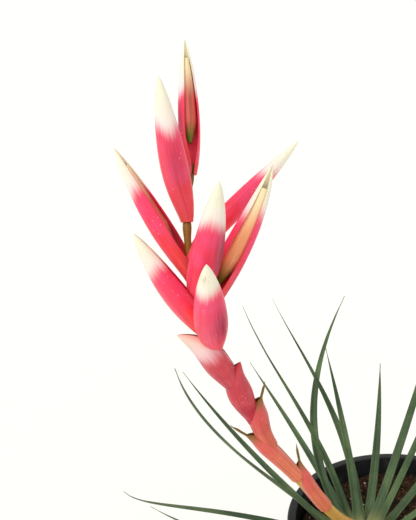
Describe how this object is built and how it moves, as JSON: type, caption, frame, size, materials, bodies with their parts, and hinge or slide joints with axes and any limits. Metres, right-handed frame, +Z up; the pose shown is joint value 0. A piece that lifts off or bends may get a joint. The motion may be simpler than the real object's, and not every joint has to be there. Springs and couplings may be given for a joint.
{
  "type": "potted vriesea in flower",
  "caption": "Small narrow-leaved vriesea with one arching red flower spike, growing in a plain black nursery pot.",
  "frame": {"origin": "centre of the pot's flat underside", "axes": "+Z up; the plant grows left of the pot's centre and its flower spike leans to -X and -Y; it is seen looking along +Y"},
  "size_m": [0.1566, 0.1597, 0.2571],
  "materials": {
    "pot_plastic": "satin",
    "potting_mix": "rough",
    "stem_base": "matt",
    "leaf_green": "satin",
    "stalk": "satin",
    "stalk_bract": "satin",
    "floral_bract": "satin",
    "flower": "satin"
  },
  "bodies": {
    "root": {"pot": "pot_plastic", "potting_mix": "potting_mix", "stem_base": "stem_base", "leaf_01": "leaf_green", "leaf_02": "leaf_green", "leaf_03": "leaf_green", "leaf_04": "leaf_green", "leaf_05": "leaf_green", "leaf_06": "leaf_green", "leaf_07": "leaf_green", "leaf_08": "leaf_green", "leaf_09": "leaf_green", "leaf_10": "leaf_green", "leaf_11": "leaf_green", "leaf_12": "leaf_green", "leaf_13": "leaf_green", "leaf_14": "leaf_green", "leaf_15": "leaf_green", "leaf_16": "leaf_green", "leaf_17": "leaf_green", "leaf_18": "leaf_green", "leaf_19": "leaf_green", "leaf_20": "leaf_green", "leaf_21": "leaf_green", "leaf_22": "leaf_green", "leaf_23": "leaf_green", "leaf_24": "leaf_green", "flower_stalk": "stalk", "floral_bract_1": "floral_bract", "floral_bract_2": "floral_bract", "floral_bract_3": "floral_bract", "floral_bract_4": "floral_bract", "floral_bract_5": "floral_bract", "floral_bract_6": "floral_bract", "floral_bract_7": "floral_bract", "floral_bract_8": "floral_bract", "flower_1": "flower", "flower_2": "flower", "flower_3": "flower", "flower_4": "flower", "flower_5": "flower", "flower_6": "flower", "flower_7": "flower", "flower_8": "flower", "stalk_bract_1": "stalk_bract", "stalk_bract_2": "stalk_bract", "stalk_bract_3": "stalk_bract", "stalk_bract_4": "stalk_bract", "stalk_bract_5": "stalk_bract"}
  },
  "joints": []
}
